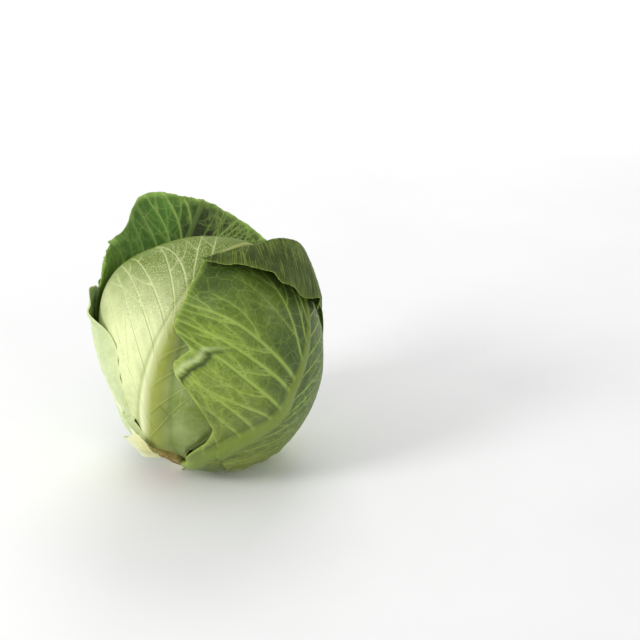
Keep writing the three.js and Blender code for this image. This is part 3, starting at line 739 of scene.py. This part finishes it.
def noise(tree, place, scale, detail=3.0, rough=0.55, warp=0.0):
    """Noise factor at a scale per metre."""
    return add(tree, "ShaderNodeTexNoise", Vector=place, Scale=scale, Detail=detail, Roughness=rough,
               Distortion=warp).outputs["Fac"]


def net(tree, place, scale, width):
    """Light lines along the edges of warped Voronoi cells: 1 on a line, 0 inside a cell."""
    wobble = add(tree, "ShaderNodeTexNoise", Vector=place, Scale=scale * 0.7, Detail=2.0).outputs["Color"]
    shift = add(tree, "ShaderNodeVectorMath", operation="SCALE", i0=wobble, Scale=0.9 / scale).outputs[0]
    moved = add(tree, "ShaderNodeVectorMath", operation="ADD", i0=place, i1=shift).outputs[0]
    cells = add(tree, "ShaderNodeTexVoronoi", feature="DISTANCE_TO_EDGE", Vector=moved, Scale=scale)
    return spread(tree, cells.outputs["Distance"], 0.0, width, 1.0, 0.0)


def rgb(red, green, blue):
    """A linear colour from the usual 0 to 255 values."""
    share = np.array([red, green, blue]) / 255
    return (*np.where(share <= 0.04045, share / 12.92, ((share + 0.055) / 1.055) ** 2.4), 1.0)


# %% [markdown]
# ### The leaf finish
#
# One function serves every leaf, because they are one tissue at different ages: a young or shaded
# part is pale and creamy, a lit and older part is deep green. Separate copies of a node tree would
# drift apart. What differs is given as colours and a few strengths.


# %% Lines on the blade
# GROOVE_AT and GROOVE_WIDE place the line beside each vein that the bump sinks and that is painted darker as shade.
GROOVE_AT, GROOVE_WIDE = -1.25, 0.6
NET_WIDE, NET_FINE, NET_PATCHES = 95.0, 260.0, 40.0
STREAK_SCALE = (105.0, 4.0, 1.0)


def shaded(colour, share):
    """A colour made darker by a share."""
    return (*(share * c for c in colour[:3]), 1.0)


def vein_lines(tree, vein_mask):
    """The crisp light line of each vein, and a line beside it on its shaded side, which the bump sinks and which is
    painted darker as shade.
    """
    beside, force = mask(tree, "beside"), mask(tree, "force")
    near = spread(tree, vein_mask, 0.01, 0.06)
    line = spread(tree, calc(tree, "ABSOLUTE", beside), 0.1, 0.85, 1.0, 0.0)
    line = times(tree, line, near, spread(tree, force, 0.0, 0.9, 0.12, 0.95))
    off = calc(tree, "ABSOLUTE", calc(tree, "SUBTRACT", beside, GROOVE_AT))
    return line, times(tree, spread(tree, off, 0.0, GROOVE_WIDE, 1.0, 0.0), near, spread(tree, force, 0.2, 0.9))


def fine_net(tree, place):
    """The net between the veins: wide cells everywhere, fine ones in patches."""
    patches = spread(tree, noise(tree, place, NET_PATCHES, 2.0), 0.35, 0.65)
    fine = times(tree, net(tree, place, NET_FINE, 0.1), patches, 0.45)
    return calc(tree, "MAXIMUM", net(tree, place, NET_WIDE, 0.06), fine)


def long_streaks(tree):
    """Streaks along the blade: noise drawn out on the blade's own flat map."""
    flat = add(tree, "ShaderNodeUVMap", uv_map="blade").outputs[0]
    drawn = add(tree, "ShaderNodeMapping", Vector=flat, Scale=STREAK_SCALE).outputs[0]
    wave = add(tree, "ShaderNodeTexNoise", Scale=1.0, Detail=3.0, Vector=drawn).outputs["Fac"]
    return spread(tree, wave, 0.5, 0.68)


# %% Dew, bloom and what every leaf shares
DEW_SCALE, BLOOM_SCALE, CLOUD_SCALE, PATCH_SCALE, MOTTLE_SCALE, GRAIN_SCALE = 880.0, 60.0, 22.0, 75.0, 420.0, 900.0
# The drop colour is a painted glint on the dew beads; the lip colour is a painted highlight and the fold colour a
# painted shadow on the pleat.
FROST, DROP_GLINT, LIP_HIGHLIGHT, FOLD_SHADOW = rgb(210, 224, 190), rgb(232, 238, 184), rgb(196, 214, 150), rgb(34, 66, 36)
FLESH = {"Subsurface Weight": 0.08, "Subsurface Scale": 0.003, "Subsurface Radius": (0.6, 1.0, 0.3)}
DROP_ROUGH, BUMP_SHARE, BUMP_DEEP, FOOT_FADE = 0.12, 0.35, 0.0006, 0.85


def dewdrops(tree, place, dew):
    """Small drops as two masks: the bead, painted in a pale glint colour, and the ring round it, painted darker as
    shade.
    """
    drops = add(tree, "ShaderNodeTexVoronoi", Vector=place, Scale=DEW_SCALE, Randomness=1.0).outputs["Distance"]
    region = times(tree, mask(tree, "dew"), dew)
    return (times(tree, spread(tree, drops, 0.2, 0.36, 1.0, 0.0), region),
            times(tree, spread(tree, drops, 0.38, 0.55, 1.0, 0.0), region))


def tissue(tree, place, cloud, pale, deep, tone, foot, cells, grain):
    """Bare blade colour from pale to deep by tone, with its own foot, darker cells and mottle."""
    up = mask(tree, "up")
    share = calc(tree, "ADD", tone(tree, up, mask(tree, "side")), spread(tree, cloud, 0.3, 0.7, -0.22, 0.22), True)
    colour = blend(tree, share, pale, deep)
    low_down = 0.0
    if foot:
        low_down = spread(tree, up, foot[1], foot[2], 1.0, 0.0)
        colour = blend(tree, low_down, colour, foot[0])
    patch = times(tree, mask(tree, "cell"), spread(tree, noise(tree, place, PATCH_SCALE, 3.0), 0.3, 0.7), cells)
    colour = blend(tree, patch, colour, shaded(deep, 0.72))
    mottle = spread(tree, noise(tree, place, MOTTLE_SCALE, 3.0, 0.7), 0.35, 0.65, 1 - grain, 1 + grain)
    return blend(tree, 1.0, colour, grey(tree, mottle), "MULTIPLY"), low_down


# %% Leaf material
def leaf_finish(name, pale, deep, vein, rib, tone, net_share, bloom=0.2, dew=0.0, streak=0.0, rough=0.46,
                groove_shade=0.5, grain=0.12, cells=0.4, foot=None, rib_shade=None, pleated=False, margin=0.55,
                shine=0.42, opaque=0.85):
    """The tissue, and over it coats of colour, each with its mask: net, painted shade beside the veins, veins, painted
    shade along the rib, rib and bloom.
    """
    material, tree, shader, place = new_material(name)
    vein_mask, rib_mask = mask(tree, "vein"), mask(tree, "rib")
    cloud = noise(tree, place, CLOUD_SCALE, 4.0, 0.6, 0.3)
    line, groove_and_shade_line = vein_lines(tree, vein_mask)
    colour, low_down = tissue(tree, place, cloud, pale, deep, tone, foot, cells, grain)
    line = times(tree, line, calc(tree, "SUBTRACT", 1.0, times(tree, low_down, FOOT_FADE)))
    net_mask = times(tree, fine_net(tree, place), calc(tree, "SUBTRACT", 1.0, rib_mask))
    # The second coat is painted shade: a darker line along each vein's shaded side.
    coats = [(times(tree, net_mask, net_share), vein), (times(tree, groove_and_shade_line, groove_shade), shaded(deep, 0.6))]
    # rib_shade paints shade on the rib and on the veins right of the midrib, the side away from the key light.
    if rib_shade:
        past = spread(tree, mask(tree, "side"), rib_shade[2], rib_shade[3])
        rib, vein = blend(tree, past, rib, rib_shade[0]), blend(tree, past, vein, rib_shade[1])
    # The seam is painted shade: a thin darker line along both edges of the rib.
    rib_edge_shade = times(tree, spread(tree, rib_mask, 0.0, 0.14), spread(tree, rib_mask, 0.14, 0.4, 1.0, 0.0))
    coats += [(spread(tree, vein_mask, 0.0, 1.0, 0.0, 0.4), vein), (times(tree, line, opaque), vein),
              (times(tree, rib_edge_shade, 0.5), shaded(deep, 0.95)), (spread(tree, rib_mask, 0.15, 0.75), rib)]
    if streak:
        coats.append((times(tree, long_streaks(tree), streak), vein))
    coats.append((spread(tree, noise(tree, place, BLOOM_SCALE, 5.0, 0.65, 0.6), 0.42, 0.72, 0.0, bloom), FROST))
    # The pleat gets a painted highlight on its lip and a painted shadow past its fold.
    if pleated:
        coats += [(times(tree, mask(tree, "lip"), 0.7), LIP_HIGHLIGHT), (times(tree, mask(tree, "fold"), 0.75), FOLD_SHADOW)]
    coats.append((times(tree, mask(tree, "edge"), margin), vein))
    height = plus(tree, times(tree, net_mask, 0.35), times(tree, line, 0.8), times(tree, groove_and_shade_line, -0.6),
                  times(tree, noise(tree, place, GRAIN_SCALE, 2.0), 0.25))
    gloss = spread(tree, cloud, 0.3, 0.7, rough - 0.07, rough + 0.07)
    if dew:
        bead, ring = dewdrops(tree, place, dew)
        # Dew: the bead gets a painted glint colour besides its bump and low roughness, and the ring round it gets
        # painted shade.
        coats += [(times(tree, ring, 0.5), shaded(deep, 0.9)), (bead, DROP_GLINT)]
        height = plus(tree, height, times(tree, bead, 0.9))
        gloss = spread(tree, bead, 0.0, 1.0, rough, DROP_ROUGH)
    for share, paint in coats:
        colour = blend(tree, share, colour, paint)
    bump = add(tree, "ShaderNodeBump", Height=height, Strength=BUMP_SHARE, Distance=BUMP_DEEP)
    for socket, value in (("Normal", bump.outputs[0]), ("Base Color", colour), ("Roughness", gloss)):
        tree.links.new(value, shader.inputs[socket])
    for socket, value in dict(FLESH, **{"Specular IOR Level": shine}).items():
        shader.inputs[socket].default_value = value
    return material


def tone_by(up=(0, 1, 0, 0), side=(0, 1, 0, 0), far=(0, 1, 0, 0), base=0.0):
    """A tone rule: base, plus a stretch of how far up, and two stretches of how far right."""
    def rule(tree, up_mask, side_mask):
        return plus(tree, spread(tree, up_mask, *up), spread(tree, side_mask, *side), base,
                    spread(tree, side_mask, *far))
    return rule


print("finishes ready")

# %% [markdown]
# ## Making the pieces
#
# Every blade takes two finishes, one for each side. The front leaf is pale and creamy, with dew high
# up on its left. The right leaf is mid-green outside and dull olive where its fold shows the inside.
# The leaf behind is deep green inside, and the left one is almost white.

# %% The leaf finishes
CREAM, VEIN_PALE, VEIN_LIME = rgb(230, 232, 188), rgb(222, 232, 168), rgb(176, 202, 94)

finishes = {
    # The front leaf's side stretch and its rib_shade paint shade right of the midrib, away from the key light.
    "leaf_front": (
        leaf_finish("pale_outside", rgb(222, 230, 172), rgb(106, 128, 42), VEIN_PALE, CREAM,
                    tone_by(up=(0.44, 0.7, 0.0, 1.1), side=(0.46, 0.55, 0.0, 0.9), base=-0.1), 0.05, 0.09, 0.9,
                    grain=0.05, groove_shade=0.75, cells=0.25, shine=0.14,
                    rib_shade=(rgb(150, 160, 74), rgb(160, 174, 94), 0.44, 0.505),
                    rough=0.52),
        leaf_finish("pale_inside", rgb(190, 206, 130), rgb(120, 152, 64), VEIN_PALE, CREAM, tone_by(base=0.5), 0.2)),
    "leaf_rear": (
        leaf_finish("rear_outside", rgb(196, 212, 138), rgb(116, 152, 66), VEIN_PALE, CREAM,
                    tone_by(up=(0.2, 0.8, 0.1, 0.9)), 0.2),
        leaf_finish("rear_inside", rgb(186, 204, 126), rgb(112, 148, 60), VEIN_PALE, CREAM, tone_by(base=0.5), 0.2)),
    # The right leaf's far stretch paints shade on its right part, which faces away from the key light.
    "leaf_right": (
        leaf_finish("green_outside", rgb(130, 154, 52), rgb(70, 96, 30), VEIN_LIME, rgb(124, 144, 54),
                    tone_by(up=(0.4, 0.8, 0.1, 0.6), side=(0.0, 0.2, 0.3, 0.0), far=(0.28, 0.48, 0.0, 0.9)), 0.22, 0.06,
                    groove_shade=0.6, foot=(rgb(124, 134, 50), 0.24, 0.46), pleated=True, shine=0.3, opaque=0.7,
                    cells=0.8, grain=0.2),
        leaf_finish("olive_inside", rgb(76, 96, 28), rgb(42, 58, 18), rgb(132, 150, 66), rgb(96, 114, 44),
                    tone_by(base=0.5), 0.12, 0.02, streak=0.75, margin=0.35, rough=0.62, shine=0.2, grain=0.2)),
    "leaf_back": (
        leaf_finish("dark_outside", rgb(92, 128, 60), rgb(60, 98, 46), rgb(132, 164, 92), rgb(160, 180, 110),
                    tone_by(up=(0.2, 0.7, 0.0, 0.8)), 0.25, 0.3),
        leaf_finish("dark_inside", rgb(84, 130, 42), rgb(46, 56, 20), rgb(164, 194, 98), rgb(100, 126, 58),
                    tone_by(side=(0.48, 0.64, 1.0, 0.05)), 0.34, 0.02, rough=0.5, shine=0.3, margin=0.9,
                    cells=0.6, opaque=0.75, foot=(rgb(146, 178, 88), 0.5, 0.7))),
    "leaf_left": (
        leaf_finish("white_outside", rgb(206, 218, 164), rgb(156, 180, 104), VEIN_PALE, CREAM,
                    tone_by(up=(0.35, 0.6, 0.0, 0.5)), 0.05, 0.2, grain=0.05, shine=0.3),
        leaf_finish("white_inside", rgb(178, 200, 120), rgb(98, 142, 52), VEIN_PALE, CREAM, tone_by(base=0.6), 0.2)),
}
finishes["leaf_stub"] = (leaf_finish("cream_cut", rgb(232, 228, 160), rgb(196, 196, 104), rgb(238, 236, 190), CREAM,
                                     tone_by(base=0.3), 0.1, 0.1),) * 2
print(len(bpy.data.materials), "materials")

# %% Build the leaves
PIECES = {"leaf_front": "front_leaf", "leaf_rear": "rear_leaf", "leaf_right": "right_leaf",
          "leaf_back": "back_leaf", "leaf_left": "left_leaf", "leaf_stub": "cut_leaf_base"}
made = {node: make_leaf(node, PIECES[node], *finishes[node]) for node in PIECES}

# %% [markdown]
# ### The closed head
#
# Between the loose leaves the closed head shows: more leaves, wrapped tight, each ending in a thin
# step. A ball with steps is enough, because these leaves never part. The step of each leaf follows
# its own outline, and its veins run with it, so no line crosses a leaf edge.

# %% Head
HEAD_SHAPE = (151, 301)
WRAPS = [dict(azimuth=-60, tip=196, half=62), dict(azimuth=75, tip=186, half=70),
         dict(azimuth=-165, tip=172, half=66), dict(azimuth=20, tip=150, half=60)]
WRAP_STEP = 0.8


def head_grid():
    """Points, masks and flat places of the head, from a ring grid round the stem's axis."""
    turn, around = np.meshgrid(np.linspace(0.5, 179.5, HEAD_SHAPE[0]), np.linspace(0, 360, HEAD_SHAPE[1])[:-1],
                               indexing="ij")
    d = direction(turn, 0 * turn, around)
    radius = body_radius(d) + layer_offset(1, d) - 1.6 - NODE_GAP
    radius -= 0.8 * (0.5 + 0.5 * np.sin(3 * around * DEG + turn / 20)) * step(turn, 60, 130)
    ridge, rib, edge, force, beside = 0 * turn, 0 * turn, 0 * turn, 0 * turn, FAR_BESIDE + 0 * turn
    for k, wrap in enumerate(WRAPS):
        s, t = angles_from(d, wrap["azimuth"])
        end = wrap["tip"] * (1 - 0.16 * (t / wrap["half"]) ** 2) + 3 * np.sin(t / 7 + k)
        room = np.minimum(end - s, wrap["half"] * (0.6 + 0.4 * np.sin(np.clip(s, 0, 180) * DEG)) - np.abs(t))
        inside = step(room, 0, 1.5)
        leaf = dict(sway=0.0, veins_left=fan(25, 11, 13, 30, 46, 70, 3, 1.2),
                    veins_right=fan(30, 11, 12, 30, 46, 70, 3, 1.2))
        own, _, own_beside, own_force = vein_field(s, t, veins_of(leaf, np.random.default_rng(VEIN_SEED * 3 + k)))
        own_rib = np.exp(-(np.abs(t) * MM_PER_DEGREE / curve(s, ROUND_RIB)) ** 2.4)
        ridge, rib = ridge * (1 - inside) + own * inside, rib * (1 - inside) + own_rib * inside
        beside, force = np.where(inside > 0.5, own_beside, beside), np.where(inside > 0.5, own_force, force)
        edge = edge * (1 - inside) + np.exp(-np.abs(room - 1) / 1.2) * (room > 0)
        radius += WRAP_STEP * (inside - 1)
    radius += 0.35 * ridge + 0.5 * rib - 0.5
    radius = np.where(d[..., 2] < 0, np.minimum(radius, STEM_SEAT / np.maximum(-d[..., 2], 1e-6)), radius)
    return lay(radius[..., None] * d, 1.6 + 2 * NODE_GAP), dict(
        vein=ridge, rib=rib, beside=beside, force=force, cell=0.5 + 0 * turn, edge=edge, up=turn / 180,
        side=0.5 + 0 * turn, dew=0 * turn)


def ring_faces(rows, around):
    """Quads between closed rings, and the two caps of triangles that close the poles."""
    i = np.arange(rows * around).reshape(rows, around)
    nxt = np.roll(i, -1, 1)
    quads = np.stack([i[:-1], nxt[:-1], nxt[1:], i[1:]], -1).reshape(-1, 4)
    first, last = rows * around, rows * around + 1
    low = np.stack([np.full(around, first), nxt[0], i[0]], 1)
    high = np.stack([np.full(around, last), i[-1], nxt[-1]], 1)
    return quads.tolist() + low.tolist() + high.tolist()


def with_poles(grid):
    """The grid's rows as one list, followed by the middle of its first ring and of its last."""
    values = grid.reshape(grid.shape[0] * grid.shape[1], -1)
    ends = [grid[k].reshape(grid.shape[1], -1).mean(0)[None] for k in (0, -1)]
    return np.concatenate([values, *ends])


head_points, head_masks = head_grid()
head_finish = leaf_finish("head_outside", rgb(206, 220, 146), rgb(128, 162, 70), VEIN_PALE, CREAM,
                          tone_by(up=(0.4, 0.9, 0.0, 0.7)), 0.18, 0.25)
made["head"] = put_mesh("closed_head", with_poles(head_points), ring_faces(*head_points.shape[:2]), [head_finish],
                        {key: with_poles(a)[:, 0] for key, a in head_masks.items()})
print("head", len(made["head"].data.polygons), "faces")

# %% [markdown]
# ### The stem
#
# The stem was cut with a knife and has dried since: a cream side with long fibres, a brown crust on
# the cut and a rim that has shrunk unevenly. It is a set of rings from a short profile, roughened by
# smooth waves in the mesh, so that the rim itself is uneven and not only its shading.

# %% Stem
STEM_AROUND = 160
FROM_CUT = [(0.06, 2.6), (0.3, 1.9), (0.5, 1.5), (0.72, 1.0), (0.86, 0.5), (0.93, 0.7), (0.965, 1.6), (0.985, 3),
            (0.985, 5), (0.975, 8)]
FROM_SEAT = [(0.985, 6), (0.98, 3), (0.96, NODE_GAP)]
STEM_PROFILE = [(r, STEM_CUT - x) for r, x in FROM_CUT] + [(r, STEM_SEAT + x) for r, x in FROM_SEAT]


def stem_grid():
    """Rings of the profile, finer, each point moved in by waves round the stem and along it."""
    share, down = np.array(STEM_PROFILE).T
    place = np.linspace(0, len(share) - 1, 60)
    share, down = np.interp(place, np.arange(len(share)), share), np.interp(place, np.arange(len(share)), down)
    around = np.linspace(0, 2 * np.pi, STEM_AROUND + 1)[:-1][None, :]
    share, down, place = share[:, None], down[:, None], place[:, None]
    fibre = 0.5 + 0.25 * np.sin(23 * around + 2 * np.sin(3 * around)) + 0.25 * np.sin(41 * around + 1.3 * place)
    shrink = 0.5 + 0.5 * np.sin(5 * around + 1) * np.sin(2 * around + 0.4)
    face = step(-place, -6, -4)
    radius = STEM_RADIUS * share * (0.98 - 0.022 * fibre - 0.03 * shrink)
    drop = face * (0.9 * shrink + 0.35 * np.sin(9 * around + 9 * share) * share + 0.2 * fibre)
    points = np.stack([radius * np.cos(around), radius * np.sin(around), -(down - drop) + 0 * around], -1)
    return lay(points, 0), face + 0 * around, 0 * face + fibre


def stem_finish():
    """Cream side with fibres; the cut is tan to dark brown, cracked and dull."""
    material, tree, shader, place = new_material("cut_stem")
    face, fibre = mask(tree, "face"), mask(tree, "fibre")
    cloud = noise(tree, place, 110.0, 5.0, 0.7, 0.5)
    side = blend(tree, spread(tree, cloud, 0.35, 0.65), rgb(216, 208, 140), rgb(186, 170, 92))
    side = blend(tree, spread(tree, fibre, 0.2, 0.9, 0.0, 0.35), side, rgb(150, 120, 60))
    crust = blend(tree, spread(tree, noise(tree, place, 190.0, 5.0, 0.7, 0.8), 0.35, 0.62), rgb(208, 160, 88),
                  rgb(136, 84, 38))
    crust = blend(tree, net(tree, place, 420.0, 0.16), crust, rgb(70, 40, 18))
    rim = spread(tree, plus(tree, face, spread(tree, cloud, 0.3, 0.7, -0.4, 0.4)), 0.1, 0.6)
    colour = blend(tree, rim, side, crust)
    height = plus(tree, noise(tree, place, 500.0, 4.0, 0.7), fibre)
    bump = add(tree, "ShaderNodeBump", Height=height, Strength=0.6, Distance=0.0008)
    tree.links.new(bump.outputs[0], shader.inputs["Normal"])
    tree.links.new(colour, shader.inputs["Base Color"])
    tree.links.new(spread(tree, face, 0.0, 1.0, 0.5, 0.8), shader.inputs["Roughness"])
    return material


stem_points, stem_face, stem_fibre = stem_grid()
made["stem"] = put_mesh("cut_stem", with_poles(stem_points), ring_faces(*stem_points.shape[:2]), [stem_finish()],
                        dict(face=with_poles(stem_face)[:, 0], fibre=with_poles(stem_fibre)[:, 0]))
print("stem", len(made["stem"].data.polygons), "faces")

# %% [markdown]
# ## Telling the frame
#
# Each piece rides on the one body of the part and stands for its node, which is hidden.

# %% Ride and replace
for node, piece in made.items():
    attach(piece, "root")
    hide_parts(node)
print(len(made), "pieces ride on the root")

# %% [markdown]
# ## Floor, light and camera
#
# The cabbage stands out against white. A wide pale floor and a bright surround give that, and a soft
# key light from the upper left rounds the form while the right side falls into shade. A third light
# whitens the floor behind, and is kept out of reflections so that it lays no sheen on the top leaves.
# The camera is far off with a long lens, so the shape is nearly free of perspective.

# %% Floor and world
FLOOR_SIZE = 12.0


def stage_material():
    """Plain pale floor with a trace of unevenness."""
    material, tree, shader, place = new_material("pale_floor")
    tone = spread(tree, noise(tree, place, 6.0), 0.3, 0.7, 0.9, 0.93)
    tree.links.new(grey(tree, tone), shader.inputs["Base Color"])
    shader.inputs["Roughness"].default_value = 0.7
    return material


half = 500 * FLOOR_SIZE
corners = np.array([(-half, -half, 0), (half, -half, 0), (half, half, 0), (-half, half, 0)], float)
floor = put_mesh("floor", corners, [[0, 1, 2, 3]], [stage_material()])

world = bpy.data.worlds.new("studio")
world.use_nodes = True
world.node_tree.nodes["Background"].inputs[0].default_value = (1, 1, 1, 1)
world.node_tree.nodes["Background"].inputs[1].default_value = 0.6
scene = bpy.context.scene
scene.world = world
scene.view_settings.view_transform = "Standard"

# %% Soft lights
MIDDLE = Vector((0, 0, CENTRE_HIGH * METRES))
LIGHTS = [("key", (-1.35, -0.9, 0.95), MIDDLE, 18.0, 0.6), ("fill", (1.0, -1.2, 0.6), MIDDLE, 1.2, 1.2),
          ("backdrop", (0.2, 2.3, 1.7), (0.1, 1.1, 0.0), 34.0, 1.6)]


def aim(item, place, toward):
    """Puts an item at a place and turns its -Z towards a point."""
    item.location = place
    item.rotation_mode = "QUATERNION"
    item.rotation_quaternion = (Vector(toward) - Vector(place)).to_track_quat("-Z", "Y")
    scene.collection.objects.link(item)


for name, place, point, power, size in LIGHTS:
    lamp = bpy.data.lights.new(name, "AREA")
    lamp.energy, lamp.size = power, size
    lit = bpy.data.objects.new(name, lamp)
    lit.visible_glossy = name != "backdrop"
    aim(lit, place, point)

# %% Camera
PIXEL = 0.0007025
FRAME_WIDE, SENSOR = 640, 36.0
DISTANCE, ELEVATION = 1.4, 22 * DEG
MIDDLE_AT = (209, 353)

toward = Vector((0, -np.cos(ELEVATION), np.sin(ELEVATION)))
upward = Vector((0, np.sin(ELEVATION), np.cos(ELEVATION)))
aside, above = (FRAME_WIDE / 2 - MIDDLE_AT[0]) * PIXEL, (MIDDLE_AT[1] - FRAME_WIDE / 2) * PIXEL
look_at = MIDDLE + Vector((aside, 0, 0)) + upward * above
lens = bpy.data.cameras.new("camera")
lens.sensor_width, lens.lens = SENSOR, SENSOR * DISTANCE / (FRAME_WIDE * PIXEL)
camera = bpy.data.objects.new("camera", lens)
aim(camera, look_at + toward * DISTANCE, look_at)
scene.camera = camera
print("lens", round(lens.lens, 1), "mm")
